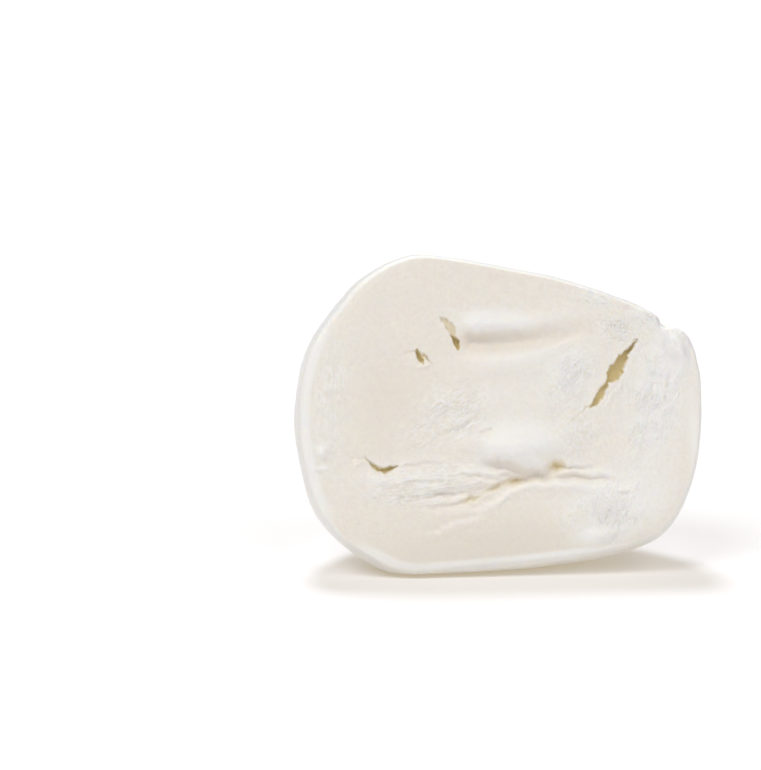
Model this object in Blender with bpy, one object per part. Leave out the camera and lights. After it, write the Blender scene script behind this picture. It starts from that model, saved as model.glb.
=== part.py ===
"""A ball of fresh mozzarella, cut open lengthwise through its knot.

The piece is one solid of curd: a cut face with the folds and tears of the stretched curd, a rounded rim
where the cut meets the skin, and behind it the rest of the ball, with pleats running to the knot.
It lies on a small flat spot, and its cut face leans back a little.

Sizes are in millimetres and turn into metres at the end. The face has its own directions: u to the right,
v up the face, w straight back into the ball.
"""

import math

import bmesh
import bpy
import numpy as np

MM = 0.001

# The whole piece
DEPTH = 32.0                 # from the cut to the back of the ball
LEAN = math.radians(14.0)    # the cut face leans back by this much
BELLY = 1.02                 # the widest section, against the cut
BACK_LENGTH = 67.0           # the rounder, plainer outline that the back of the ball ends in
BACK_HEIGHT = 59.0
SOLE_LEVEL = -26.9           # height of the flat spot, from the middle of the face
SOLE_EDGE = 0.6              # half the height over which the flat spot turns into the round

# Outline of the cut, clockwise from the crown. The knot is at the upper right.
CUT_OUTLINE = [
    (-12.2, 27.6), (-5.5, 26.7), (1.6, 25.3), (11.0, 23.3), (20.6, 20.1), (26.8, 17.3), (29.0, 15.2),
    (32.1, 13.6), (34.1, 9.8), (35.0, 3.5), (33.9, -8.5), (29.8, -18.2), (22.8, -22.4), (5.9, -25.4),
    (-10.3, -26.5), (-16.2, -26.4), (-20.6, -24.6), (-27.6, -19.6), (-31.8, -12.4), (-33.9, -0.5),
    (-31.9, 11.1), (-25.0, 21.0), (-20.6, 24.8), (-16.3, 26.9),
]

# Radius of the rim's round, by direction: right, upper right, top, upper left, left, and so on
RIM_ROUNDS = [0.6, 0.7, 0.9, 1.1, 1.2, 1.8, 2.3, 1.4]

# The knot, a small lobe with a notch above it
KNOT = (31.0, 12.6)
KNOT_SIZE = 3.6
KNOT_HEIGHT = 0.7
NOTCH = (28.9, 15.6)
NOTCH_SIZE = 1.3
NOTCH_DEPTH = 0.8
PLEATS = 7
PLEAT_DEPTH = 0.7
PLEAT_LENGTH = 14.0

# Folds of the curd on the face. The side on the left of the way each path runs is the raised one.
BROW_FOLD = [(-6.6, 14.5), (-1.7, 13.9), (4.5, 14.2), (10.5, 15.3), (16.5, 16.6), (24.0, 19.0)]
BROW_HEIGHT = 1.0
BROW_DROP = 1.1
BROW_LIP = 2.6               # how far the lip and the valley reach from the path
BROW_VALLEY = 2.3
LOWER_FOLD = [(20.5, -12.6), (12.9, -11.5), (5.3, -11.4), (0.6, -13.4), (-5.6, -16.0), (-12.0, -16.6)]
LOWER_HEIGHT = 0.5
LOWER_DROP = 1.3
LOWER_LIP = 2.6
LOWER_VALLEY = 2.4
FOLD_SLOPE = 2.0             # half the width of the slope from a lip down to its valley
NOSE = [(4.0, 10.3), (4.4, 3.0), (4.6, -4.0)]
NOSE_WIDTH = 5.5
NOSE_HEIGHT = 0.7
NOSE_TIP = (4.2, -4.8)
NOSE_TIP_SIZE = (6.2, 3.0)
NOSE_TIP_HEIGHT = 1.5

# Long, low swells all over the cut, which is never quite flat
SWELL_HEIGHT = 0.25
SWELL_LENGTH = 9.0

# Tears: name, path, widest opening and depth
TEARS = [
    ("star_tear", [(-15.4, 10.8), (-13.6, 10.5), (-12.5, 9.9), (-11.0, 9.2)], 1.4, 2.0),
    ("upper_tear", [(-9.4, 16.9), (-8.0, 14.9), (-7.2, 13.4), (-6.1, 11.3)], 1.4, 2.4),
    ("left_tear", [(-22.9, -6.6), (-21.3, -8.3), (-19.0, -9.3), (-16.7, -8.3)], 1.0, 1.8),
    ("long_tear", [(24.5, 13.8), (21.9, 10.0), (19.2, 6.2), (15.2, 0.7)], 2.3, 2.8),
]

# How finely the cube that the ball is shaped from is cut: along its length, height and depth
CELLS = (30, 23, 9)
BACK_FROM = math.radians(40.0)   # where the sides of the cube hand over to its back
CLEAN_GAP = 0.01                 # points closer than this along a tear's lip are made one
SKIN_COLOUR = (0.86, 0.83, 0.76, 1.0)


def clear_scene():
    for item in list(bpy.data.objects):
        bpy.data.objects.remove(item, do_unlink=True)


def new_collection(name):
    collection = bpy.data.collections.new(name)
    bpy.context.scene.collection.children.link(collection)
    return collection


def move_to(collection, item):
    for owner in list(item.users_collection):
        owner.objects.unlink(item)
    collection.objects.link(item)


def smooth_curve(points, closed, steps=24):
    """Points along a Catmull-Rom curve through the given ones."""
    corners = np.array(points, dtype=float)
    if closed:
        corners = np.vstack([corners[-1:], corners, corners[:2]])
    else:
        first = 2 * corners[0] - corners[1]
        last = 2 * corners[-1] - corners[-2]
        corners = np.vstack([first, corners, last])
    t = np.linspace(0.0, 1.0, steps, endpoint=False)[:, None]
    runs = []
    for before, start, end, after in zip(corners, corners[1:], corners[2:], corners[3:]):
        bend = 2 * before - 5 * start + 4 * end - after
        twist = 3 * (start - end) + after - before
        runs.append(start + 0.5 * t * ((end - before) + t * (bend + t * twist)))
    if not closed:
        runs.append(corners[-2:-1])
    return np.vstack(runs)


def outline_radius(angle):
    """Distance from the middle of the face to the cut's outline in each direction."""
    curve = smooth_curve(CUT_OUTLINE, closed=True)
    radius = np.hypot(curve[:, 0], curve[:, 1])
    direction = np.arctan2(curve[:, 1], curve[:, 0])
    order = np.argsort(direction)
    return np.interp(angle, direction[order], radius[order], period=2 * math.pi)


def back_radius(angle):
    half_length = BACK_LENGTH / 2
    half_height = BACK_HEIGHT / 2
    return half_length * half_height / np.hypot(half_height * np.cos(angle), half_length * np.sin(angle))


def rim_round(angle):
    stations = np.linspace(0.0, 2 * math.pi, len(RIM_ROUNDS), endpoint=False)
    return np.interp(angle, stations, RIM_ROUNDS, period=2 * math.pi)


def smoothstep(value, start, end):
    x = np.clip((value - start) / (end - start), 0.0, 1.0)
    return x * x * (3 - 2 * x)


def bell(distance):
    return np.exp(-distance * distance)


def measure_path(u, v, points):
    """Distance to a path, positive on its left, and the place along it from 0 to 1."""
    path = smooth_curve(points, closed=False, steps=6)
    lengths = np.hypot(*np.diff(path, axis=0).T)
    starts = np.concatenate([[0.0], np.cumsum(lengths)])
    nearest = np.full(u.shape, np.inf)
    side = np.ones(u.shape)
    place = np.zeros(u.shape)
    for index, length in enumerate(lengths):
        along = (path[index + 1] - path[index]) / length
        du = u - path[index, 0]
        dv = v - path[index, 1]
        reach = np.clip(du * along[0] + dv * along[1], 0.0, length)
        gap = np.hypot(du - reach * along[0], dv - reach * along[1])
        closer = gap < nearest
        nearest = np.where(closer, gap, nearest)
        side = np.where(closer, np.sign(dv * along[0] - du * along[1]), side)
        place = np.where(closer, (starts[index] + reach) / starts[-1], place)
    return nearest * side, place


def fold(u, v, points, height, drop, lip_width, valley_width):
    """A lip on the left of the path and a valley on its right, both fading out at the path's ends."""
    distance, place = measure_path(u, v, points)
    fade = smoothstep(place, 0.0, 0.2) * smoothstep(place, 1.0, 0.7)
    lip = height * bell((distance - lip_width) / lip_width) * smoothstep(distance, -FOLD_SLOPE, FOLD_SLOPE)
    valley = drop * bell((distance + FOLD_SLOPE) / valley_width)
    valley = valley * smoothstep(distance, FOLD_SLOPE, -FOLD_SLOPE)
    return fade * (lip - valley)


def face_relief(u, v):
    """Height of the curd above the plane of the cut."""
    brow = fold(u, v, BROW_FOLD, BROW_HEIGHT, BROW_DROP, BROW_LIP, BROW_VALLEY)
    lower = fold(u, v, LOWER_FOLD, LOWER_HEIGHT, LOWER_DROP, LOWER_LIP, LOWER_VALLEY)
    distance, _ = measure_path(u, v, NOSE)
    nose = NOSE_HEIGHT * bell(distance / NOSE_WIDTH)
    tip_u = (u - NOSE_TIP[0]) / NOSE_TIP_SIZE[0]
    tip_v = (v - NOSE_TIP[1]) / NOSE_TIP_SIZE[1]
    tip = NOSE_TIP_HEIGHT * bell(np.hypot(tip_u, tip_v))
    knot = KNOT_HEIGHT * bell(np.hypot(u - KNOT[0], v - KNOT[1]) / KNOT_SIZE)
    swell = SWELL_HEIGHT * np.sin(u / SWELL_LENGTH + 1.0) * np.cos((v - 0.3 * u) / SWELL_LENGTH)
    return brow + lower + nose + tip + knot + swell


def skin_relief(u, v, w):
    """Pleats that run to the knot, the knot's lobe and its notch, on the skin."""
    du = u - KNOT[0]
    dv = v - KNOT[1]
    reach = np.sqrt(du * du + dv * dv + w * w)
    turn = np.arctan2(w, -dv)
    pleats = PLEAT_DEPTH * np.cos(PLEATS * turn) * np.exp(-reach / PLEAT_LENGTH)
    lobe = KNOT_HEIGHT * bell(reach / KNOT_SIZE)
    notch_reach = np.hypot(u - NOTCH[0], v - NOTCH[1])
    notch = NOTCH_DEPTH * bell(notch_reach / NOTCH_SIZE) * np.exp(-w / KNOT_SIZE)
    return pleats + lobe - notch


def split_at(corner):
    """Split the four-sided cells around a corner of the cube through it, as it will lie flat in them."""
    for cell in list(corner.link_faces):
        if len(cell.verts) == 4:
            around = list(cell.verts)
            opposite = around[around.index(corner) - 2]
            bmesh.utils.face_split(cell, corner, opposite)


def cut_cube():
    """A cube whose faces are cut into even cells, finer on the front face, which becomes the cut."""
    bpy.ops.mesh.primitive_cube_add(size=2.0)
    ball = bpy.context.object
    form = bmesh.new()
    form.from_mesh(ball.data)
    for axis, cells in zip((0, 2, 1), CELLS):
        along = [edge for edge in form.edges
                 if abs(edge.verts[0].co[axis] - edge.verts[1].co[axis]) > 0.01]
        bmesh.ops.subdivide_edges(form, edges=along, cuts=cells - 1, use_grid_fill=True)
    front = [edge for edge in form.edges if all(vertex.co.y < -0.999 for vertex in edge.verts)]
    bmesh.ops.subdivide_edges(form, edges=front, cuts=1, use_grid_fill=True)
    corners = [vertex for vertex in form.verts if min(map(abs, vertex.co)) > 0.999]
    for corner in corners:
        split_at(corner)
    form.to_mesh(ball.data)
    form.free()
    return ball


def shape_ball(cube):
    """Place each point of the cube on the cut face, the rim or the skin: u, v and w."""
    a, c, b = cube.T
    disc_u = a * np.sqrt(1 - b * b / 2)
    disc_v = b * np.sqrt(1 - a * a / 2)
    angle = np.arctan2(disc_v, disc_u)
    reach = np.hypot(disc_u, disc_v)
    edge = outline_radius(angle)
    rim = rim_round(angle)
    front = c < -0.999
    back = c > 0.999

    flat = edge - rim
    run = np.clip(reach, 0.0, 1.0) * (flat + rim * math.pi / 2)
    turn = np.clip((run - flat) / rim, 0.0, math.pi / 2)
    face_radius = np.where(run < flat, run, flat + rim * np.sin(turn))
    face_w = np.where(run < flat, 0.0, rim * (1 - np.cos(turn)))

    start = -math.acos(1 / BELLY)
    side_share = (c + 1) / 2
    latitude = np.where(back, math.pi / 2 - (math.pi / 2 - BACK_FROM) * reach,
                        start + (BACK_FROM - start) * side_share)
    roundness = smoothstep(np.sin(latitude), 0.0, 0.9)
    girth = edge * BELLY * (1 - roundness) + back_radius(angle) * roundness
    skin_radius = girth * np.cos(latitude)
    skin_w = rim + (DEPTH - rim) * (np.sin(latitude) - math.sin(start)) / (1 - math.sin(start))

    radius = np.where(front, face_radius, skin_radius)
    w = np.where(front, face_w, skin_w)
    return np.column_stack([radius * np.cos(angle), radius * np.sin(angle), w])


def lean_back(shape):
    """From the face's own directions to x, y and z, still in millimetres from the middle of the face."""
    u, v, w = shape.T
    y = v * math.sin(LEAN) + w * math.cos(LEAN)
    z = v * math.cos(LEAN) - w * math.sin(LEAN)
    return np.column_stack([u, y, z])


def settle(placed):
    """Flatten what would sink below the sole, with a short round into it."""
    height = placed[:, 2] - SOLE_LEVEL
    round_in = (height + SOLE_EDGE) ** 2 / (4 * SOLE_EDGE)
    settled = np.where(height < -SOLE_EDGE, 0.0, np.where(height < SOLE_EDGE, round_in, height))
    return np.column_stack([placed[:, 0], placed[:, 1], settled])


def read_points(mesh):
    flat = np.empty(len(mesh.vertices) * 3)
    mesh.vertices.foreach_get("co", flat)
    return flat.reshape(-1, 3)


def write_points(mesh, points):
    mesh.vertices.foreach_set("co", points.ravel())
    mesh.update()


def read_normals(mesh):
    flat = np.empty(len(mesh.vertices) * 3)
    mesh.vertices.foreach_get("normal", flat)
    return flat.reshape(-1, 3)


def make_ball(collection):
    """The ball without its tears, and the shift that puts the middle of its sole at the origin."""
    ball = cut_cube()
    ball.name = "mozzarella"
    mesh = ball.data
    mesh.name = "mozzarella"
    cube = read_points(mesh)
    shape = shape_ball(cube)
    placed = lean_back(shape)
    write_points(mesh, placed)
    normals = read_normals(mesh)

    u, v, w = shape.T
    on_face = cube[:, 1] < -0.999
    inside = 1 - smoothstep(np.hypot(u, v) / outline_radius(np.arctan2(v, u)), 0.94, 1.0)
    near_knot = bell(np.hypot(u - KNOT[0], v - KNOT[1]) / (2 * KNOT_SIZE))
    face_share = np.maximum(inside, near_knot)
    relief = np.where(on_face, face_relief(u, v) * face_share, skin_relief(u, v, w))
    placed = settle(placed + normals * relief[:, None])

    middle = (placed.max(axis=0) + placed.min(axis=0)) / 2
    shift = np.array([middle[0], middle[1], 0.0])
    write_points(mesh, (placed - shift) * MM)
    mesh.shade_smooth()
    mesh.set_sharp_from_angle(angle=math.radians(60.0))
    move_to(collection, ball)
    return ball, shift


def make_tear(name, path, opening, depth, shift, collection):
    """A long lens bent along the tear's path, closed at both ends, half of it inside the curd."""
    bpy.ops.mesh.primitive_uv_sphere_add(segments=10, ring_count=12, radius=1.0)
    tear = bpy.context.object
    tear.name = name
    across, into, along = read_points(tear.data).T
    curve = smooth_curve(path, closed=False)
    place = (along + 1) / 2 * (len(curve) - 1)
    whole = np.arange(len(curve))
    middle_u = np.interp(place, whole, curve[:, 0])
    middle_v = np.interp(place, whole, curve[:, 1])
    heading = curve[-1] - curve[0]
    heading = heading / np.hypot(*heading)
    u = middle_u + across * heading[1] * opening / 2
    v = middle_v - across * heading[0] * opening / 2
    placed = lean_back(np.column_stack([u, v, into * depth]))
    placed[:, 2] -= SOLE_LEVEL
    write_points(tear.data, (placed - shift) * MM)
    tear.hide_render = True
    tear.display_type = "WIRE"
    move_to(collection, tear)


def cut_tears(ball, shift, collection):
    for name, path, opening, depth in TEARS:
        make_tear(name, path, opening, depth, shift, collection)
    cut = ball.modifiers.new("tears", "BOOLEAN")
    cut.operation = "DIFFERENCE"
    cut.solver = "EXACT"
    cut.operand_type = "COLLECTION"
    cut.collection = collection
    weld = ball.modifiers.new("clean_edges", "WELD")
    weld.merge_threshold = CLEAN_GAP * MM


def curd_material():
    material = bpy.data.materials.new("curd")
    material.use_nodes = True
    shader = material.node_tree.nodes["Principled BSDF"]
    shader.inputs["Base Color"].default_value = SKIN_COLOUR
    shader.inputs["Roughness"].default_value = 0.35
    shader.inputs["Metallic"].default_value = 0.0
    return material


clear_scene()
parts = new_collection("mozzarella_ball")
cutters = new_collection("tear_cutters")
ball, shift = make_ball(parts)
cut_tears(ball, shift, cutters)
ball.data.materials.append(curd_material())
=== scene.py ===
import itertools
import math

import bmesh
import bpy
import numpy as np
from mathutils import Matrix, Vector


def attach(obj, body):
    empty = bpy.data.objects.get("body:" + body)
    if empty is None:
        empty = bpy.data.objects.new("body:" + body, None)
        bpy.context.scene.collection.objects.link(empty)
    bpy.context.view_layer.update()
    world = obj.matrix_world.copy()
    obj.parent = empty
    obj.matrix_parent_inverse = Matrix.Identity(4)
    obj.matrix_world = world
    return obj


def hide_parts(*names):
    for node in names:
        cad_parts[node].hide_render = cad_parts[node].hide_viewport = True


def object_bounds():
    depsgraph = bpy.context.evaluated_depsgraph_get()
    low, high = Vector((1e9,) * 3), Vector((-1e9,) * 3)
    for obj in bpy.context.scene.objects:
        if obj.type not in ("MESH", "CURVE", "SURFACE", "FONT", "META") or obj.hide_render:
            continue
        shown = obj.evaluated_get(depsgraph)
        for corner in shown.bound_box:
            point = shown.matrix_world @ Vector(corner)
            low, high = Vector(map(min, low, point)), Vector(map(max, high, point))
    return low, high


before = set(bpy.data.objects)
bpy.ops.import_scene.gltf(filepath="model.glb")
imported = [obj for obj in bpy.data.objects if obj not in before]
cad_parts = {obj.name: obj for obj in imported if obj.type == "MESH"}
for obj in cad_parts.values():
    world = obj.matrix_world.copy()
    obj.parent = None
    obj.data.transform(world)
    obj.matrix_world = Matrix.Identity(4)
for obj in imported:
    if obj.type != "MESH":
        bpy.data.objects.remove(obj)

cad_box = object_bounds()


# ---------------------------------------------------------------------------------------------------
# The mozzarella: one ball of stretched cow's milk curd, pinched off by hand at its knot, kept in whey,
# and cut open lengthwise. The curd is dense and milky, its skin smoother, whiter and wetter.
# Sizes are in millimetres from the middle of the cut: u to the right, v up the cut, w into the ball.
# ---------------------------------------------------------------------------------------------------
MM = 0.001
cad_low = Vector(cad_box[0])
cad_high = Vector(cad_box[1])
SOLE_LEVEL = -26.9           # height of the flat spot, from the middle of the cut
CUT_ASIDE = -0.58            # the middle of the cut, from the part's middle and from its front
CUT_BEHIND = 6.15
FACE_MIDDLE = Vector(((cad_low.x + cad_high.x) / 2 + CUT_ASIDE * MM,
                      cad_low.y + CUT_BEHIND * MM,
                      cad_low.z - SOLE_LEVEL * MM))
DEPTH = 32.0                 # from the cut to the back of the ball
LEAN = math.radians(14.0)    # the cut leans back by this much
BELLY = 1.02                 # the widest section, against the cut
BACK_LENGTH = 67.0           # the rounder, plainer outline that the back of the ball ends in
BACK_HEIGHT = 59.0
SOLE_EDGE = 0.6              # half the height over which the flat spot turns into the round

# Outline of the cut, clockwise from the crown. The knot is at the upper right.
CUT_OUTLINE = [
    (-12.2, 27.6), (-5.5, 26.7), (1.6, 25.3), (11.0, 23.3), (20.6, 20.1), (26.8, 17.3), (29.0, 15.2),
    (32.1, 13.6), (34.1, 9.8), (35.0, 3.5), (33.9, -8.5), (29.8, -18.2), (22.8, -22.4), (5.9, -25.4),
    (-10.3, -26.5), (-16.2, -26.4), (-20.6, -24.6), (-27.6, -19.6), (-31.8, -12.4), (-33.9, -0.5),
    (-31.9, 11.1), (-25.0, 21.0), (-20.6, 24.8), (-16.3, 26.9),
]

# Width of the rim's band, by direction: right, upper right, top, upper left, left, and so on
RIM_BANDS = [0.5, 0.5, 0.5, 0.9, 1.1, 0.5, 1.3, 0.8]
RIM_START = math.radians(18.0)      # the knife leaves an edge that turns by this much at once
SKIN_ENDS = (1.15, 0.75)            # the skin thins out between these shares of the band

# How finely the cube that the ball is shaped from is cut: along its length, height and depth
CELLS = (138, 110, 20)
BACK_FROM = math.radians(40.0)      # where the sides of the cube hand over to its back


def bell(distance):
    """1 at the middle, and little beyond a distance of 2."""
    return np.exp(-distance * distance)


def soft_step(value, start, end):
    """0 up to the start and 1 from the end on, with a smooth way between them."""
    x = np.clip((value - start) / (end - start), 0.0, 1.0)
    return x * x * (3 - 2 * x)


def patch(u, v, middle, size, turn):
    """A soft round patch, 1 in its middle, that may be longer one way and turned."""
    du = u - middle[0]
    dv = v - middle[1]
    along = du * math.cos(turn) + dv * math.sin(turn)
    across = dv * math.cos(turn) - du * math.sin(turn)
    return bell(np.hypot(along / size[0], across / size[1]))


NOISE_STEPS = (73856093, 19349663, 83492791)      # large primes, one for each side of the lattice


def noise(*sides, seed=0):
    """Smooth noise from -1 to 1, on lattice points one unit apart."""
    points = np.column_stack(sides)
    cell = np.floor(points).astype(np.int64)
    part = points - cell
    ease = part ** 3 * (part * (part * 6 - 15) + 10)
    total = np.zeros(len(points))
    for corner in itertools.product((0, 1), repeat=points.shape[1]):
        share = np.prod(np.where(corner, ease, 1 - ease), axis=1)
        mixed = ((cell + corner) * NOISE_STEPS[:points.shape[1]]).sum(axis=1)
        mixed = (mixed + seed * 668265263) & 0x7FFFFFFF
        mixed = (mixed ^ (mixed >> 13)) * 1274126177 & 0x7FFFFFFF
        mixed = (mixed ^ (mixed >> 16)) * 1103515245 & 0x7FFFFFFF
        total += share * (mixed / 0x3FFFFFFF - 1)
    return total


def layered(*sides, seed=0, layers=3):
    """Noise with ever finer and weaker layers on top."""
    total = 0.0
    for layer in range(layers):
        total = total + noise(*[side * 2 ** layer for side in sides], seed=seed + layer) / 2 ** layer
    return total


def smooth_curve(points, closed=False, steps=6):
    """Points along a Catmull-Rom curve through the given ones."""
    corners = np.array(points, dtype=float)
    if closed:
        corners = np.vstack([corners[-1:], corners, corners[:2]])
    else:
        corners = np.vstack([2 * corners[0] - corners[1], corners, 2 * corners[-1] - corners[-2]])
    t = np.linspace(0.0, 1.0, steps, endpoint=False)[:, None]
    runs = []
    for before, start, end, after in zip(corners, corners[1:], corners[2:], corners[3:]):
        bend = 2 * before - 5 * start + 4 * end - after
        twist = 3 * (start - end) + after - before
        runs.append(start + 0.5 * t * ((end - before) + t * (bend + t * twist)))
    if not closed:
        runs.append(corners[-2:-1])
    return np.vstack(runs)


def track(u, v, points):
    """Distance to a path, positive on its left, and the place along it from 0 to 1."""
    path = smooth_curve(points)
    lengths = np.hypot(*np.diff(path, axis=0).T)
    starts = np.concatenate([[0.0], np.cumsum(lengths)])
    nearest = np.full(u.shape, np.inf)
    side = np.ones(u.shape)
    place = np.zeros(u.shape)
    for index, length in enumerate(lengths):
        along = (path[index + 1] - path[index]) / length
        du = u - path[index, 0]
        dv = v - path[index, 1]
        reach = np.clip(du * along[0] + dv * along[1], 0.0, length)
        gap = np.hypot(du - reach * along[0], dv - reach * along[1])
        closer = gap < nearest
        nearest = np.where(closer, gap, nearest)
        side = np.where(closer, np.sign(dv * along[0] - du * along[1]), side)
        place = np.where(closer, (starts[index] + reach) / starts[-1], place)
    return nearest * side, place


def outline_radius(angle):
    """Distance from the middle of the cut to its outline in each direction."""
    curve = smooth_curve(CUT_OUTLINE, closed=True, steps=24)
    direction = np.arctan2(curve[:, 1], curve[:, 0])
    order = np.argsort(direction)
    return np.interp(angle, direction[order], np.hypot(*curve.T)[order], period=2 * math.pi)


def back_radius(angle):
    """The same for the plain oval that the back of the ball ends in."""
    half_length = BACK_LENGTH / 2
    half_height = BACK_HEIGHT / 2
    return half_length * half_height / np.hypot(half_height * np.cos(angle), half_length * np.sin(angle))


def rim_band(angle):
    """Width of the band where the cut turns into the skin, in each direction."""
    stations = np.linspace(0.0, 2 * math.pi, len(RIM_BANDS), endpoint=False)
    return np.interp(angle, stations, RIM_BANDS, period=2 * math.pi)


def spread_on_cut(across, upward):
    """From the square side of the cube to the cut: direction and share of the way out to the edge."""
    disc_u = across * np.sqrt(1 - upward * upward / 2)
    disc_v = upward * np.sqrt(1 - across * across / 2)
    return np.arctan2(disc_v, disc_u), np.hypot(disc_u, disc_v)


# Tears, open to the whey inside: path, opening at even steps along it, and depth
TEARS = [
    ([(-15.7, 10.8), (-14.4, 11.1), (-13.0, 11.0)], (0.2, 0.5, 0.6), 0.35),
    ([(-13.4, 11.3), (-13.1, 10.4), (-12.7, 9.7), (-12.5, 9.0)], (0.6, 1.1, 1.1, 0.4), 1.1),
    ([(-12.8, 10.6), (-12.0, 10.0), (-11.0, 9.0)], (0.8, 0.6, 0.2), 0.7),
    ([(-9.7, 16.9), (-8.6, 16.1), (-7.9, 15.2), (-7.5, 14.2), (-7.1, 13.2)],
     (0.2, 1.2, 1.8, 1.1, 0.8), 0.45),
    ([(-7.4, 13.7), (-6.9, 12.8), (-6.5, 11.8)], (0.6, 1.2, 0.9), 1.3),
    ([(-25.5, -4.8), (-25.3, -6.6), (-23.9, -7.0), (-22.6, -6.9)], (0.1, 0.2, 0.2, 0.3), 0.5),
    ([(-22.6, -6.8), (-21.7, -7.8), (-20.8, -8.7), (-19.6, -9.0), (-18.4, -8.9), (-17.1, -8.4)],
     (0.2, 0.4, 0.7, 1.0, 1.1, 1.0, 0.5), 0.9),
    ([(24.0, 13.0), (23.2, 11.5), (22.0, 10.1), (20.5, 7.9), (19.8, 6.5), (19.1, 5.5)],
     (0.3, 0.6, 1.0, 1.6, 2.0, 2.3, 2.2, 0.5), 1.2),
    ([(19.0, 5.9), (18.3, 4.6), (17.3, 2.9), (16.6, 1.9), (15.9, 1.5)], (0.6, 1.2, 1.5, 1.4, 0.6), 0.9),
    ([(16.2, 1.7), (14.2, 0.3), (12.8, -0.8), (10.6, -2.2)], (0.5, 0.25, 0.15, 0.1), 0.6),
]

# Pits under the folds, where the layers part: middle, size, turn and depth
PITS = [
    ((10.0, -8.6), (1.2, 0.7), 0.2, 0.9),
    ((2.8, -11.2), (1.5, 0.5), 0.05, 0.7),
    ((-0.6, -12.2), (1.5, 0.5), 0.4, 0.6),
    ((-4.6, -14.1), (1.5, 0.5), 0.35, 0.6),
]
FINE_REACH = 1.0             # the mesh is finer this far round them


def near_openings(u, v):
    """Where the mesh has to be finer to follow a tear or a pit."""
    near = np.zeros(u.shape, dtype=bool)
    for path, openings, _ in TEARS:
        distance, _ = track(u, v, path)
        near |= np.abs(distance) < max(openings) / 2 + FINE_REACH
    for middle, size, _, _ in PITS:
        near |= np.hypot(u - middle[0], v - middle[1]) < max(size) + FINE_REACH
    return near


# A finely divided cube, whose front side becomes the cut and is twice as fine. Around the tears and
# the pits it is divided once more.
ON_SIDE = 0.999              # beyond this, a point of the cube lies on its front or its back
bpy.ops.mesh.primitive_cube_add(size=2.0)
cheese = bpy.context.object
cheese.name = "mozzarella_curd"
form = bmesh.new()
form.from_mesh(cheese.data)
for axis, cells in zip((0, 2, 1), CELLS):
    lengthwise = [edge for edge in form.edges
                  if abs(edge.verts[0].co[axis] - edge.verts[1].co[axis]) > 1 - ON_SIDE]
    bmesh.ops.subdivide_edges(form, edges=lengthwise, cuts=cells - 1, use_grid_fill=True)
front_edges = [edge for edge in form.edges if all(point.co.y < -ON_SIDE for point in edge.verts)]
bmesh.ops.subdivide_edges(form, edges=front_edges, cuts=1, use_grid_fill=True)
front_faces = [face for face in form.faces if face.calc_center_median().y < -ON_SIDE]
centres = np.array([face.calc_center_median() for face in front_faces])
angle, reach = spread_on_cut(centres[:, 0], centres[:, 2])
radius = reach * outline_radius(angle)
is_near = near_openings(radius * np.cos(angle), radius * np.sin(angle))
fine_edges = {edge for face, near in zip(front_faces, is_near) if near for edge in face.edges}
bmesh.ops.subdivide_edges(form, edges=list(fine_edges), cuts=1, use_grid_fill=True)
form.to_mesh(cheese.data)
form.free()


def read_points(mesh, name="co"):
    """The mesh's points, or their normals, as rows of three numbers."""
    flat = np.empty(len(mesh.vertices) * 3)
    mesh.vertices.foreach_get(name, flat)
    return flat.reshape(-1, 3)


def write_points(mesh, points):
    mesh.vertices.foreach_set("co", points.ravel())
    mesh.update()


def lean_back(shape):
    """From the cut's own directions to x, y and z, still in millimetres from the middle of the cut."""
    across, up, into = shape.T
    y = up * math.sin(LEAN) + into * math.cos(LEAN)
    z = up * math.cos(LEAN) - into * math.sin(LEAN)
    return np.column_stack([across, y, z])


# Each point of the cube, by its direction from the middle of the cut and its share of the way out
across, inside, upward = read_points(cheese.data).T
on_cut = inside < -ON_SIDE
on_back = inside > ON_SIDE
angle, reach = spread_on_cut(across, upward)
edge = outline_radius(angle)

# The flat of the cut, and round it the rim's band, from the knife's edge to where the skin starts
band = rim_band(angle)
band_round = band / (1 - math.sin(RIM_START))
band_depth = band_round * math.cos(RIM_START)
flat = edge - band
band_run = band_round * (math.pi / 2 - RIM_START)
run = np.clip(reach, 0.0, 1.0) * (flat + band_run)
turn = RIM_START + np.clip((run - flat) / band_round, 0.0, math.pi / 2 - RIM_START)
on_flat = run < flat
cut_radius = np.where(on_flat, run, flat + band_round * (np.sin(turn) - math.sin(RIM_START)))
cut_w = np.where(on_flat, 0.0, band_round * (math.cos(RIM_START) - np.cos(turn)))

# The skin, from the band over the widest section to the middle of the back
start = -math.acos(1 / BELLY)
latitude = np.where(on_back, math.pi / 2 - (math.pi / 2 - BACK_FROM) * reach,
                    start + (BACK_FROM - start) * (inside + 1) / 2)
roundness = soft_step(np.sin(latitude), 0.0, 0.9)
girth = edge * BELLY * (1 - roundness) + back_radius(angle) * roundness
skin_share = (np.sin(latitude) - math.sin(start)) / (1 - math.sin(start))
skin_w = band_depth + (DEPTH - band_depth) * skin_share

radius = np.where(on_cut, cut_radius, girth * np.cos(latitude))
u = radius * np.cos(angle)
v = radius * np.sin(angle)
w = np.where(on_cut, cut_w, skin_w)
placed = lean_back(np.column_stack([u, v, w]))
write_points(cheese.data, placed)
normals = read_points(cheese.data, "normal")

# How far a point is inside the outline, and how much it belongs to the skin, which ends in the band
inward = edge - radius
skin = np.where(on_cut, soft_step(inward, band * SKIN_ENDS[0], band * SKIN_ENDS[1]), 1.0)

# The places on the cut alone
cu, cv = u[on_cut], v[on_cut]
cut_inward = inward[on_cut]

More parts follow.
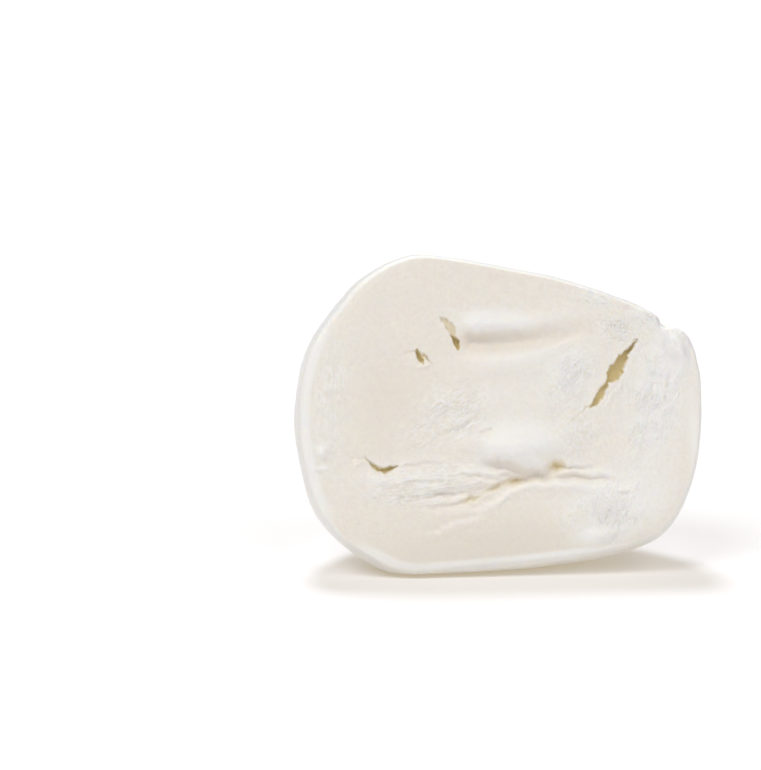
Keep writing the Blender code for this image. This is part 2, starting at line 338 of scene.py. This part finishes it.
# Folds where layers of curd overlap. The raised lip is on the left of the way each path runs.
FOLDS = [
    # path, lip height, valley depth, gap, lip reach, valley reach, fade in, fade out
    ([(-6.6, 14.5), (-4.5, 14.1), (-1.7, 13.9), (2.4, 14.0), (6.5, 14.5), (10.5, 15.3), (14.6, 16.1),
      (18.3, 17.1), (22.0, 18.4)], 0.8, 1.45, 2.6, 1.5, 1.7, 0.10, 0.95),
    ([(-3.6, -7.6), (-1.4, -7.3), (0.5, -7.3), (2.5, -8.1), (4.5, -8.9), (6.5, -9.4), (8.3, -8.9),
      (9.6, -7.0)], 0.6, 0.7, 1.2, 2.2, 1.3, 0.2, 0.3),
    ([(20.5, -12.6), (14.9, -11.6), (10.8, -11.3), (8.0, -11.2), (5.3, -11.3), (3.6, -11.8), (2.2, -12.5),
      (0.6, -13.4), (-1.5, -14.8), (-3.9, -15.8), (-7.5, -16.3), (-11.2, -16.3)],
     0.45, 0.4, 1.0, 0.9, 1.2, 0.25, 0.5),
    ([(11.0, -9.6), (14.1, -10.1), (15.7, -10.3), (17.7, -10.4), (20.0, -11.0), (21.2, -12.2)],
     0.3, 0.3, 0.7, 1.0, 0.6, 0.2, 0.35),
    ([(10.6, -8.5), (13.5, -8.6), (17.7, -8.5)], 0.3, 0.45, 0.5, 0.9, 0.5, 0.1, 0.6),
    ([(19.4, -12.8), (20.8, -13.1), (22.4, -12.9), (23.8, -12.4)], 0.25, 0.2, 0.5, 0.7, 0.5, 0.3, 0.4),
    ([(-16.9, -8.3), (-13.5, -7.7), (-11.3, -7.7), (-9.3, -7.5), (-8.4, -6.3)],
     0.1, 0.3, 0.6, 1.2, 0.7, 0.2, 0.3),
    ([(-17.3, -13.8), (-13.0, -13.5), (-8.2, -12.2), (-4.2, -11.9), (-0.6, -10.9)],
     0.2, 0.35, 1.0, 1.2, 0.9, 0.4, 0.2),
    ([(-15.0, -15.2), (-11.0, -15.0), (-7.5, -14.6), (-4.2, -14.3)], 0.15, 0.25, 0.7, 0.9, 0.6, 0.4, 0.2),
    ([(0.4, -15.3), (-3.9, -17.3), (-7.0, -17.9), (-9.3, -18.8), (-10.8, -19.6), (-16.1, -19.7)],
     0.22, 0.15, 0.7, 0.7, 0.8, 0.4, 0.5),
    ([(-0.8, -9.6), (2.0, -10.0), (4.2, -10.5), (6.4, -10.9)], 0.3, 0.3, 0.7, 0.8, 0.6, 0.3, 0.3),
    ([(-8.4, -10.2), (-5.0, -9.8), (-1.6, -10.0), (0.8, -10.9)], 0.25, 0.3, 0.7, 0.9, 0.6, 0.3, 0.3),
    ([(-11.4, -2.9), (-8.2, -2.4), (-5.7, -1.4), (-2.9, 0.8)], 0.2, 0.25, 0.6, 1.0, 0.6, 0.3, 0.3),
    ([(-3.6, -3.0), (-2.2, -2.6), (-0.5, -1.8)], 0.1, 0.3, 0.4, 0.9, 0.4, 0.3, 0.3),
    ([(22.6, 8.6), (21.5, 7.0), (20.9, 5.6), (20.2, 4.5), (19.3, 3.6), (18.4, 2.0), (17.7, 1.0)],
     0.5, 0.0, 0.2, 0.6, 0.5, 0.35, 0.2),
    ([(-16.6, -9.3), (-18.0, -10.0), (-19.4, -10.3), (-21.0, -9.9), (-22.2, -8.7)],
     0.4, 0.0, 0.3, 0.9, 0.3, 0.25, 0.3),
    ([(8.9, -4.5), (8.6, -1.0), (8.3, 3.0), (8.6, 6.5)], 0.15, 0.15, 2.2, 1.6, 1.4, 0.4, 0.4),
    ([(-4.0, 7.5), (-3.0, 4.0), (-2.6, 0.5), (-2.9, -1.8)], 0.15, 0.15, 2.2, 1.6, 1.4, 0.4, 0.4),
    ([(29.3, 14.4), (28.9, 12.2), (29.4, 10.2), (31.2, 9.2), (33.4, 9.6)],
     0.1, 0.1, 0.8, 1.2, 0.8, 0.2, 0.2),
    ([(-2.2, -8.5), (0.2, -8.4), (2.6, -9.2), (4.8, -10.0), (7.0, -10.3)],
     0.2, 0.3, 0.5, 0.6, 0.4, 0.3, 0.3),
    ([(15.5, 14.3), (14.1, 13.7), (9.6, 12.1), (5.0, 10.8), (1.0, 10.2)],
     0.22, 0.1, 0.6, 1.0, 0.8, 0.3, 0.4),
    ([(-18.5, -11.6), (-14.5, -11.0), (-10.0, -10.9), (-6.0, -10.7)], 0.2, 0.25, 0.5, 0.7, 0.5, 0.3, 0.4),
    ([(-12.5, -12.8), (-8.5, -13.0), (-5.0, -12.8), (-2.5, -12.2)], 0.2, 0.25, 0.5, 0.7, 0.5, 0.3, 0.4),
]

# Swells of the curd: middle, size, turn and height
SWELLS = [
    ((-0.6, 16.2), (4.2, 1.3), 0.03, 0.65),
    ((1.6, 9.2), (5.8, 2.5), 0.08, 1.1),
    ((3.2, 2.8), (4.8, 6.0), 0.0, 0.4),
    ((4.0, -5.0), (6.8, 2.8), 0.0, 2.4),
    ((10.8, -9.9), (1.8, 0.5), 0.25, 0.4),
    ((-13.5, -11.0), (8.5, 1.9), 0.04, 0.8),
    ((-5.2, -4.8), (2.6, 1.5), 0.5, 0.5),
    ((-29.7, -5.8), (1.1, 0.95), 0.0, 1.1),
    ((-23.7, -7.8), (0.8, 0.6), 0.0, 0.35),
    ((-30.2, -8.8), (1.4, 0.3), 0.1, 0.4),
    ((-19.8, 2.8), (1.4, 0.25), 0.0, 0.2),
    ((-12.2, 8.6), (1.3, 0.4), 0.3, 0.3),
    ((16.5, 6.0), (1.7, 4.6), -0.6, -0.2),
    ((17.6, -20.4), (3.2, 1.1), 0.18, 0.6),
    ((17.6, 20.2), (2.4, 0.9), -0.35, 0.5),
    ((22.4, 18.7), (1.4, 0.7), -0.4, -0.5),
    ((31.4, 10.8), (2.4, 2.8), 0.3, 1.4),
    ((26.2, 16.6), (2.6, 0.9), -0.45, 0.4),
    ((28.4, 4.6), (0.5, 4.6), -0.17, 0.45),
    ((30.7, 6.6), (0.5, 2.0), -0.45, 0.4),
    ((8.0, -19.0), (18.0, 5.0), 0.12, 0.5),
]


def uneven_bell(distance, reach_below, reach_above):
    """A bell that is wider on one side of the path than on the other."""
    return bell(distance / np.where(distance < 0, reach_below, reach_above))


def folds_relief(u, v):
    """How far the folds stand out, and how deep they lie in their valleys."""
    raised = 0.0
    sunk = 0.0
    for path, lip, valley, gap, lip_reach, valley_reach, fade_in, fade_out in FOLDS:
        distance, place = track(u, v, path)
        fade = soft_step(place, 0.0, fade_in) * soft_step(place, 1.0, 1.0 - fade_out)
        steep = 0.7 * gap
        over = lip * uneven_bell(distance - gap / 2, steep, lip_reach)
        under = valley * uneven_bell(distance + gap / 2, valley_reach, steep)
        raised = raised + fade * over
        sunk = sunk + fade * under
    return raised, sunk


def patches_height(u, v, patches):
    """The sum of soft patches, each given by its middle, size, turn and height."""
    height = 0.0
    for middle, size, turn, rise in patches:
        height = height + rise * patch(u, v, middle, size, turn)
    return height


TEAR_OUTSIDE = 0.10          # the slope into a tear starts this far outside its opening
TEAR_INSIDE = 0.30           # and ends this far inside it


def tears_depth(u, v):
    """How deep the curd is torn. A tear is shallower where it is nearly closed."""
    depth = np.zeros(u.shape)
    for path, openings, deep in TEARS:
        distance, place = track(u, v, path)
        opening = np.interp(place, np.linspace(0.0, 1.0, len(openings)), openings)
        inside = soft_step(np.abs(distance), opening / 2 + TEAR_OUTSIDE, opening / 2 - TEAR_INSIDE)
        depth = np.maximum(depth, deep * (0.4 + 0.6 * np.minimum(opening, 1.0)) * inside)
    return depth


def fibres_along(u, v, turn, length, width, seed):
    """Long thin fibres lying one way, from -1 to 1."""
    along = (u * math.cos(turn) + v * math.sin(turn)) / length
    across = (v * math.cos(turn) - u * math.sin(turn)) / width
    return layered(along, across, seed=seed, layers=2)


def crinkles_along(u, v, turn, length, width, seed):
    """Fibres drawn up into short little strands, from 0 to 1."""
    return np.clip(0.5 + 0.8 * fibres_along(u, v, turn, length, width, seed), 0.0, 1.0)


# Areas where the curd is drawn up in fine crinkles
CRINKLED = {
    # middle, size and turn of the area, then the crinkles' lie, length, width, height and share of it
    "left_crinkles": ((-28.0, 3.0), (3.0, 12.0), -0.10, 1.62, 2.2, 0.8, 0.10, 0.65),
    "fan_crinkles": ((-8.5, -0.3), (7.0, 4.4), 0.45, 0.64, 1.8, 0.7, 0.20, 1.00),
    "low_crinkles": ((-12.5, -11.4), (10.0, 3.6), 0.08, 0.10, 2.0, 0.8, 0.20, 0.90),
    "right_crinkles": ((26.5, 2.0), (5.0, 11.0), -0.15, 1.25, 1.6, 0.7, 0.24, 1.00),
    "middle_crinkles": ((12.5, 6.5), (4.8, 5.0), 0.30, 1.15, 1.1, 0.7, 0.20, 1.10),
    "knot_crinkles": ((21.5, 15.0), (5.5, 3.5), -0.40, 0.90, 0.9, 0.7, 0.28, 0.80),
    "upper_crinkles": ((18.0, 20.0), (3.6, 1.5), -0.35, -0.35, 1.0, 0.7, 0.22, 1.00),
    "edge_crinkles": ((27.0, 16.4), (3.4, 1.6), -0.45, -0.45, 1.2, 0.6, 0.15, 1.00),
    "lobe_crinkles": ((31.6, 12.4), (2.6, 3.0), 0.00, 1.90, 1.0, 0.6, 0.12, 0.70),
    "corner_crinkles": ((19.0, -16.5), (7.0, 4.2), 0.20, 1.50, 1.4, 0.7, 0.20, 1.00),
    "inner_crinkles": ((14.0, -4.0), (5.0, 5.0), 0.00, 1.20, 1.3, 0.7, 0.14, 0.60),
}

# The relief of the cut: long low waves all over it, as it is never quite flat, then the folds and
# swells, the long fibres of the curd, its crinkles and its pores
BROAD_HEIGHT = 0.25
BROAD_LENGTH = 9.0
FIBRE_HEIGHT = 0.04
FIBRE_LIE = 1.2
FIBRE_SIZE = (4.0, 0.9)
PATCH_SIZE = 3.0             # the crinkles come and go over this length
PORE_DEPTH = 0.03
PORE_SIZE = 0.8


def strayed(amount, step, seeds, layers=2):
    """The places on the cut, each a little off, so that what is drawn there runs unevenly."""
    return [side + amount * layered(cu / step, cv / step, seed=seed, layers=layers)
            for side, seed in zip((cu, cv), seeds)]


wander_u, wander_v = strayed(0.5, 3.0, (1, 5))
gentle_u, gentle_v = strayed(0.20, 1.6, (11, 15), layers=3)
rough_u, rough_v = strayed(0.20, 0.8, (17, 19))

broad = BROAD_HEIGHT * np.sin(cu / BROAD_LENGTH + 1.0) * np.cos((cv - 0.3 * cu) / BROAD_LENGTH)
raised, sunk = folds_relief(gentle_u, gentle_v)
folded = raised - sunk + patches_height(cu, cv, SWELLS)
pitted = patches_height(rough_u, rough_v, PITS)
torn = tears_depth(rough_u, rough_v)

fibres = FIBRE_HEIGHT * fibres_along(wander_u, wander_v, FIBRE_LIE, *FIBRE_SIZE, 21)
crest_highlights = 0.0
grooves = 0.0
areas = {}
come_and_go = layered(cu / PATCH_SIZE, cv / PATCH_SIZE, seed=85, layers=2)
patchy = np.clip(0.85 + 0.6 * come_and_go, 0.2, 1.0)
for index, (name, (middle, size, patch_turn, *lie)) in enumerate(CRINKLED.items()):
    turn, length, width, rise, share = lie
    area = np.clip(share * patchy, 0.0, 1.0) * patch(cu, cv, middle, size, patch_turn)
    areas[name] = area
    drawn_up = crinkles_along(wander_u, wander_v, turn, length, width, 31 + index)
    fibres = fibres + rise * area * drawn_up
    crest_highlights = crest_highlights + area * soft_step(drawn_up, 0.55, 1.0)
    grooves = grooves + area * soft_step(drawn_up, 0.45, 0.0)
crinkled = sum(areas.values())
pores = PORE_DEPTH * layered(cu / PORE_SIZE, cv / PORE_SIZE, seed=81, layers=2)

# Close to its edge the cut is calm
calm = soft_step(cut_inward, 0.6, 2.2)
relief = np.zeros(len(u))
relief[on_cut] = calm * (broad + folded + fibres + pores - pitted - torn)

# The knot, a small lobe with a notch above it, and the skin's pleats, stretch lines and soft dents
KNOT = (31.0, 12.6)
KNOT_SIZE = 3.6
KNOT_HEIGHT = 0.55
NOTCH = (28.9, 15.6)
NOTCH_SIZE = 1.0
NOTCH_DEPTH = 0.65
NOTCH_RUN = 4.0              # how far the notch runs on over the skin
PLEATS = 7
PLEAT_DEPTH = 0.7
PLEAT_LENGTH = 14.0
STRETCH_HEIGHT = 0.05
STRETCH_LENGTH = 11.0
STRETCH_LINES = 14
DENT_DEPTH = 0.45
DENT_SIZE = 16.0
knot_reach = np.sqrt((u - KNOT[0]) ** 2 + (v - KNOT[1]) ** 2 + w * w)
knot_turn = np.arctan2(w, KNOT[1] - v)
pleat_phase = PLEATS * knot_turn + 1.2 * noise(knot_reach / 6, knot_turn * 2, seed=91)
pleats = PLEAT_DEPTH * np.cos(pleat_phase) * np.exp(-knot_reach / PLEAT_LENGTH) * soft_step(w, 1.0, 6.0)
lobe = KNOT_HEIGHT * bell(knot_reach / KNOT_SIZE)
notch_reach = np.hypot(u - NOTCH[0], v - NOTCH[1])
notch = NOTCH_DEPTH * bell(notch_reach / NOTCH_SIZE) * np.exp(-w / NOTCH_RUN)
stretched = layered(knot_turn * STRETCH_LINES, knot_reach / STRETCH_LENGTH, seed=95)
stretch = STRETCH_HEIGHT * stretched * soft_step(w, 0.0, 2.0)
soft_dents = DENT_DEPTH * layered(u / DENT_SIZE, v / DENT_SIZE, w / DENT_SIZE, seed=101, layers=2)
relief = relief + np.where(on_cut, lobe * soft_step(inward, 6.0, 0.0), lobe) - notch
relief = relief + np.where(on_cut, 0.0, pleats + stretch) + soft_dents * soft_step(w, 0.0, 8.0)

# The relief stands at right angles to the plain form, and what would sink below the table is flat
placed = placed + normals * relief[:, None]
height = placed[:, 2] - SOLE_LEVEL
round_in = (height + SOLE_EDGE) ** 2 / (4 * SOLE_EDGE)
placed[:, 2] = np.where(height < -SOLE_EDGE, 0.0, np.where(height < SOLE_EDGE, round_in, height))
origin = np.array([FACE_MIDDLE.x, FACE_MIDDLE.y, cad_low.z])
write_points(cheese.data, placed * MM + origin)
cheese.data.shade_smooth()


def keep_mask(name, values):
    """Stores a value for every point of the mesh, for the material to read."""
    mask = cheese.data.attributes.new(name, "FLOAT", "POINT")
    mask.data.foreach_set("value", values.astype(np.float32))


def spread(values):
    """Values from 0 to 1 for the points of the cut, and nothing elsewhere."""
    whole = np.zeros(len(u))
    whole[on_cut] = np.clip(values, 0.0, 1.0)
    return whole


# Patches of milkier curd and painted highlights, of duller curd and painted shade, and spots of painted
# shade: middle, size, turn and share
# Milkier curd, partly real and partly painted highlight on lips, bumps, swells and ridges that face the
# lights
MILK_AND_HIGHLIGHT_PATCHES = [
    ((2.6, 3.0), (4.6, 6.5), 0.0, 0.2),
    ((4.0, -4.5), (6.5, 3.0), 0.0, 1.2),
    ((-0.5, 16.6), (5.0, 1.6), 0.0, 1.0),
    ((2.0, 10.0), (6.0, 2.0), 0.05, 0.5),
    ((31.8, 12.4), (3.0, 3.4), 0.0, 1.4),
    ((26.3, 17.0), (3.6, 1.5), -0.45, 0.8),
    ((27.6, 3.5), (3.8, 10.5), -0.2, 1.1),
    ((17.7, -20.2), (3.8, 1.5), 0.15, 1.2),
    ((20.5, -15.5), (7.0, 5.0), 0.3, 1.2),
    ((28.4, 4.6), (0.7, 5.0), -0.17, 1.0),
    ((30.7, 6.6), (0.6, 2.2), -0.45, 1.0),
    ((-29.7, -5.6), (1.1, 0.9), 0.0, 1.0),
    ((-30.2, -8.7), (1.4, 0.4), 0.1, 0.8),
    ((34.0, -6.0), (1.2, 9.0), 0.1, 0.7),
    ((-15.5, -10.8), (7.0, 1.8), 0.05, 0.3),
    ((12.5, 7.0), (4.6, 4.6), 0.0, 0.75),
    ((-29.0, 2.0), (2.4, 12.0), -0.1, 0.2),
    ((17.6, 20.2), (2.8, 1.3), -0.35, 0.8),
]
# Duller curd, and painted shade in the valley under the brow and left of the long tear; the cut is also
# darker along its bottom
DULL_AND_SHADE_PATCHES = [
    ((0.0, -21.5), (26.0, 5.0), 0.05, 1.0),
    ((-18.0, 2.0), (6.5, 8.0), 0.0, 0.9),
    ((3.0, 13.8), (12.0, 1.8), 0.12, 0.6),
    ((32.5, 2.0), (1.2, 6.0), 0.0, 0.9),
    ((16.0, 6.0), (1.6, 4.0), -0.6, 0.4),
]
# Painted shade in the notch above the knot and in a dent under the rim
SHADE_SPOTS = [
    (NOTCH, (0.7, 0.7), 0.0, 1.0),
    ((22.3, 18.6), (1.7, 0.6), -0.35, 0.8),
]

# Painted light runs along the lower and the left side of the cut: a paler band that lifts that edge out
# of its shade
low_and_left = np.maximum(soft_step(cv, -20.0, -24.0), soft_step(cu, -27.0, -31.0))
painted_light_edge = soft_step(cut_inward, 2.4, 1.5) * soft_step(cut_inward, 0.0, 0.5) * low_and_left
# The milkier curd, with painted highlights on lit tops and on the raised lips of the folds, and the
# painted light of the edge
milk_and_highlight = spread(np.maximum(patches_height(cu, cv, MILK_AND_HIGHLIGHT_PATCHES) + 0.9 * raised, painted_light_edge))
# Painted shade in the valleys of the folds
fold_shade = np.clip(1.2 * sunk - 0.5 * raised, 0.0, 1.0)
# Painted shade, darker and warmer, low on the ball close to the table
painted_foot_shade = 0.5 * soft_step(height, 1.0, 0.1)
keep_mask("skin", skin * (1.0 - 0.8 * milk_and_highlight))
# Whey in the tears and pits, and painted shade that deepens with their depth and near the table
keep_mask("whey_and_shade", np.maximum(spread(1.2 * torn + pitted), painted_foot_shade))
keep_mask("milk_and_highlight", milk_and_highlight)
keep_mask("dull_and_shade", spread(patches_height(cu, cv, DULL_AND_SHADE_PATCHES) + 0.3 * crinkled))
# Painted highlights on the tops of the crinkles
keep_mask("crest_highlights", spread(crest_highlights))
# Painted shade in the grooves between crinkles, in the folds' valleys and in the shade spots
keep_mask("crease_shade", spread(0.2 * grooves + fold_shade + patches_height(cu, cv, SHADE_SPOTS)))
for name, area in areas.items():
    keep_mask(name, spread(area))

# Colours of the fresh curd, its clouds, its duller patches and painted shade, the skin, the milkiest curd
# and painted highlights, painted shade in creases, and whey with painted shade
CURD_COLOUR = (0.95, 0.922, 0.874, 1.0)
CLOUD_COLOUR = (0.86, 0.822, 0.765, 1.0)
DULL_AND_SHADE_COLOUR = (0.84, 0.795, 0.725, 1.0)
SKIN_COLOUR = (0.89, 0.88, 0.856, 1.0)
MILK_AND_HIGHLIGHT_COLOUR = (0.985, 0.972, 0.955, 1.0)
CREASE_SHADE_COLOUR = (0.84, 0.785, 0.71, 1.0)
WHEY_AND_SHADE_COLOUR = (0.74, 0.62, 0.34, 1.0)


def add(tree, kind, **settings):
    """Adds a node to a material or a group."""
    node = tree.nodes.new(kind)
    for name, value in settings.items():
        setattr(node, name, value)
    return node


# Fine crinkles lying one way: their height, and the tops of the highest, which are painted pale as
# highlights. The group is used once for every crinkled area.
crinkles = bpy.data.node_groups.new("fine_crinkles", "ShaderNodeTree")
crinkles.interface.new_socket("Place", in_out="INPUT", socket_type="NodeSocketVector")
for socket_name in ("Turn", "Length", "Width"):
    crinkles.interface.new_socket(socket_name, in_out="INPUT", socket_type="NodeSocketFloat")
for socket_name in ("Height", "Crest"):
    crinkles.interface.new_socket(socket_name, in_out="OUTPUT", socket_type="NodeSocketFloat")
given = add(crinkles, "NodeGroupInput")
turned = add(crinkles, "ShaderNodeVectorRotate", rotation_type="Y_AXIS")
spacing = add(crinkles, "ShaderNodeCombineXYZ")
scaled = add(crinkles, "ShaderNodeVectorMath", operation="DIVIDE")
strands = add(crinkles, "ShaderNodeTexNoise")
crest = add(crinkles, "ShaderNodeMath", operation="MULTIPLY_ADD", use_clamp=True)
result = add(crinkles, "NodeGroupOutput")
spacing.inputs["Y"].default_value = 1.0
strands.inputs["Scale"].default_value = 1.0
strands.inputs["Detail"].default_value = 2.0
strands.inputs["Roughness"].default_value = 0.6
CREST_STEEPNESS = 12.0
# Strands are painted pale, as highlights, above this height
CREST_START = 0.45           # height at which a strand starts to be pale
crest.inputs[1].default_value = CREST_STEEPNESS
crest.inputs[2].default_value = -CREST_STEEPNESS * CREST_START
for source, target in (
    (given.outputs["Place"], turned.inputs["Vector"]),
    (given.outputs["Turn"], turned.inputs["Angle"]),
    (given.outputs["Length"], spacing.inputs["X"]),
    (given.outputs["Width"], spacing.inputs["Z"]),
    (turned.outputs["Vector"], scaled.inputs[0]),
    (spacing.outputs["Vector"], scaled.inputs[1]),
    (scaled.outputs["Vector"], strands.inputs["Vector"]),
    (strands.outputs["Fac"], crest.inputs[0]),
    (strands.outputs["Fac"], result.inputs["Height"]),
    (crest.outputs["Value"], result.inputs["Crest"]),
):
    crinkles.links.new(source, target)

# The curd and its skin are one moist material, told apart by the masks
curd = bpy.data.materials.new("moist_curd")
curd.use_nodes = True
tree = curd.node_tree
shader = tree.nodes["Principled BSDF"]


def link(source, target):
    tree.links.new(source, target)


def read_mask(name):
    return add(tree, "ShaderNodeAttribute", attribute_name=name).outputs["Fac"]


def mix_colour(share, first, second):
    """Mixes two colours; each is a plain colour or the output of a node. The sockets are the node's
    share, its two colours and its mixed colour."""
    mix = add(tree, "ShaderNodeMix", data_type="RGBA")
    link(share, mix.inputs[0])
    for socket, colour in ((mix.inputs[6], first), (mix.inputs[7], second)):
        if isinstance(colour, tuple):
            socket.default_value = colour
        else:
            link(colour, socket)
    return mix.outputs[2]


def calculate(operation, first, second):
    """Sum or product of two values; each is a plain number or the output of a node."""
    node = add(tree, "ShaderNodeMath", operation=operation)
    for socket, value in zip(node.inputs, (first, second)):
        if isinstance(value, float):
            socket.default_value = value
        else:
            link(value, socket)
    return node.outputs["Value"]


def add_noise(scale, detail, roughness=0.5):
    """Noise all through the ball, in millimetres."""
    node = add(tree, "ShaderNodeTexNoise")
    node.inputs["Scale"].default_value = scale
    node.inputs["Detail"].default_value = detail
    node.inputs["Roughness"].default_value = roughness
    link(in_millimetres.outputs["Vector"], node.inputs["Vector"])
    return node.outputs["Fac"]


# The places on the curd, in millimetres and turned so that the cut stands upright
where = add(tree, "ShaderNodeTexCoord")
upright = add(tree, "ShaderNodeVectorRotate", rotation_type="X_AXIS")
upright.inputs["Angle"].default_value = LEAN
in_millimetres = add(tree, "ShaderNodeVectorMath", operation="SCALE")
in_millimetres.inputs["Scale"].default_value = 1 / MM
link(where.outputs["Object"], upright.inputs["Vector"])
link(upright.outputs["Vector"], in_millimetres.inputs["Vector"])

# The curd's colour: mottled and clouded, then milkier or duller by the masks, which also paint highlights
# and shade
mottle = calculate("ADD", calculate("MULTIPLY", add_noise(1.3, 4.0, 0.75), 2.4), -0.7)
base = mix_colour(mottle, CLOUD_COLOUR, CURD_COLOUR)
base = mix_colour(calculate("MULTIPLY", add_noise(0.18, 3.0), 0.6), base, CLOUD_COLOUR)
# Duller curd and painted shade, milkier curd and painted highlights, painted shade in creases, and
# painted highlights on the crinkles' tops
for mask, strength, colour in (("dull_and_shade", 0.7, DULL_AND_SHADE_COLOUR), ("milk_and_highlight", 1.0, MILK_AND_HIGHLIGHT_COLOUR),
                               ("crease_shade", 0.9, CREASE_SHADE_COLOUR), ("crest_highlights", 0.4, MILK_AND_HIGHLIGHT_COLOUR)):
    base = mix_colour(calculate("MULTIPLY", read_mask(mask), strength), base, colour)

# The pores of the curd and, in the crinkled areas, crinkles finer than those of the mesh, whose tops are
# painted pale as highlights
PORE_SHARE = 1.6
DRAWN_SIZE = 0.6
DRAWN_HEIGHT = 7.0
relief_height = calculate("MULTIPLY", add_noise(1.6, 4.0, 0.7), PORE_SHARE)
for name, (_, _, _, turn, length, width, _, _) in CRINKLED.items():
    area = read_mask(name)
    drawn = add(tree, "ShaderNodeGroup", node_tree=crinkles)
    link(in_millimetres.outputs["Vector"], drawn.inputs["Place"])
    drawn.inputs["Turn"].default_value = turn
    drawn.inputs["Length"].default_value = length * DRAWN_SIZE
    drawn.inputs["Width"].default_value = width * DRAWN_SIZE
    drawn_height = calculate("MULTIPLY", drawn.outputs["Height"], DRAWN_HEIGHT)
    relief_height = calculate("ADD", relief_height, calculate("MULTIPLY", area, drawn_height))
    base = mix_colour(calculate("MULTIPLY", area, drawn.outputs["Crest"]), base, MILK_AND_HIGHLIGHT_COLOUR)

# The skin goes over the curd's edge, and wet whey lines what is open, darker with painted shade the
# deeper it lies; painted shade also darkens the foot near the table
skinned = mix_colour(read_mask("skin"), base, SKIN_COLOUR)
wheyed = mix_colour(read_mask("whey_and_shade"), skinned, WHEY_AND_SHADE_COLOUR)
link(wheyed, shader.inputs["Base Color"])

bump = add(tree, "ShaderNodeBump")
bump.inputs["Strength"].default_value = 1.0
bump.inputs["Distance"].default_value = 0.1 * MM
link(relief_height, bump.inputs["Height"])
link(bump.outputs["Normal"], shader.inputs["Normal"])
shader.inputs["Roughness"].default_value = 0.30
shader.inputs["Subsurface Weight"].default_value = 0.6
shader.inputs["Subsurface Radius"].default_value = (1.0, 0.85, 0.6)
shader.inputs["Subsurface Scale"].default_value = 0.5 * MM
shader.inputs["IOR"].default_value = 1.40
cheese.data.materials.append(curd)

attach(cheese, "root")
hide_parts("mozzarella")


# ---------------------------------------------------------------------------------------------------
# The table: a plain white top, far wider than the view. It glows a little in a warm colour, painted light
# that stands in for the light bounced off and passed through the cheese, so that the shadow on it stays
# pale and warm. Its own colour is a little blue, so that with the glow the lit top is white.
# ---------------------------------------------------------------------------------------------------
TABLE_SIDE = 6.0
TABLE_COLOUR = (0.61, 0.625, 0.675, 1.0)
BOUNCE_GLOW_COLOUR = (1.0, 0.87, 0.66, 1.0)
BOUNCE_GLOW = 0.31
bpy.ops.mesh.primitive_plane_add(size=TABLE_SIDE, location=(0.0, 0.0, cad_low.z))
table = bpy.context.object
table.name = "white_table"
top = bpy.data.materials.new("white_table")
top.use_nodes = True
top_shader = top.node_tree.nodes["Principled BSDF"]
top_shader.inputs["Base Color"].default_value = TABLE_COLOUR
top_shader.inputs["Roughness"].default_value = 0.9
top_shader.inputs["Specular IOR Level"].default_value = 0.0
# The warm glow is painted light that lifts the shadow on the table
top_shader.inputs["Emission Color"].default_value = BOUNCE_GLOW_COLOUR
top_shader.inputs["Emission Strength"].default_value = BOUNCE_GLOW
table.data.materials.append(top)


# ---------------------------------------------------------------------------------------------------
# Light: a dim white room and three soft lights. The first, above and behind, is the sharpest, and it
# casts the shadow in front of the ball. The two in front, to the left and right, are wide and warmer.
# ---------------------------------------------------------------------------------------------------
ROOM_LIGHT = 0.22
ROOM_COLOUR = (1.0, 0.95, 0.88, 1.0)
COOL_WHITE = (0.94, 0.985, 1.05)
WARM_WHITE = (1.0, 0.985, 0.96)
room = bpy.data.worlds.new("white_room")
room.use_nodes = True
room_nodes = room.node_tree.nodes
room_nodes["Background"].inputs["Color"].default_value = ROOM_COLOUR
room_nodes["Background"].inputs["Strength"].default_value = ROOM_LIGHT
bpy.context.scene.world = room


def add_lamp(name, direction, angle, energy, colour):
    """A soft light far away, in the given direction."""
    light = bpy.data.lights.new(name, "SUN")
    light.color = colour
    light.energy = energy
    light.angle = math.radians(angle)
    lamp = bpy.data.objects.new(name, light)
    bpy.context.scene.collection.objects.link(lamp)
    lamp.rotation_euler = Vector(direction).to_track_quat("Z", "Y").to_euler()


add_lamp("overhead_light", (-0.08, 0.50, 1.0), 13, 1.75, COOL_WHITE)
add_lamp("front_light", (-0.50, -0.50, 1.0), 32, 1.30, WARM_WHITE)
add_lamp("side_light", (0.50, -0.60, 1.0), 40, 0.78, WARM_WHITE)


# ---------------------------------------------------------------------------------------------------
# Camera: a long lens a little above the table. It looks almost square at the cut, which it shows
# right of the middle of the picture and a little low in it.
# ---------------------------------------------------------------------------------------------------
PICTURE = (761, 770)
VIEW_TURN = math.radians(-5.0)
VIEW_RISE = math.radians(11.0)
VIEW_DISTANCE = 0.520
MM_PER_STEP = 0.170          # how much of the cut one step of the picture shows
SENSOR_WIDTH = 36.0
AIM_LEFT = 19.9 * MM
AIM_UP = 5.1 * MM
back = Vector((math.sin(VIEW_TURN) * math.cos(VIEW_RISE),
               -math.cos(VIEW_TURN) * math.cos(VIEW_RISE),
               math.sin(VIEW_RISE)))
right = (-back).cross(Vector((0.0, 0.0, 1.0))).normalized()
above = right.cross(-back)
aim = FACE_MIDDLE - right * AIM_LEFT + above * AIM_UP
lens = bpy.data.cameras.new("camera")
camera = bpy.data.objects.new("camera", lens)
bpy.context.scene.collection.objects.link(camera)
camera.location = FACE_MIDDLE + back * VIEW_DISTANCE
camera.rotation_euler = (aim - camera.location).to_track_quat("-Z", "Y").to_euler()
lens.sensor_width = SENSOR_WIDTH
lens.lens = VIEW_DISTANCE / MM / MM_PER_STEP * SENSOR_WIDTH / max(PICTURE)
lens.clip_start = 0.01
bpy.context.scene.camera = camera
bpy.context.scene.view_settings.view_transform = "Standard"
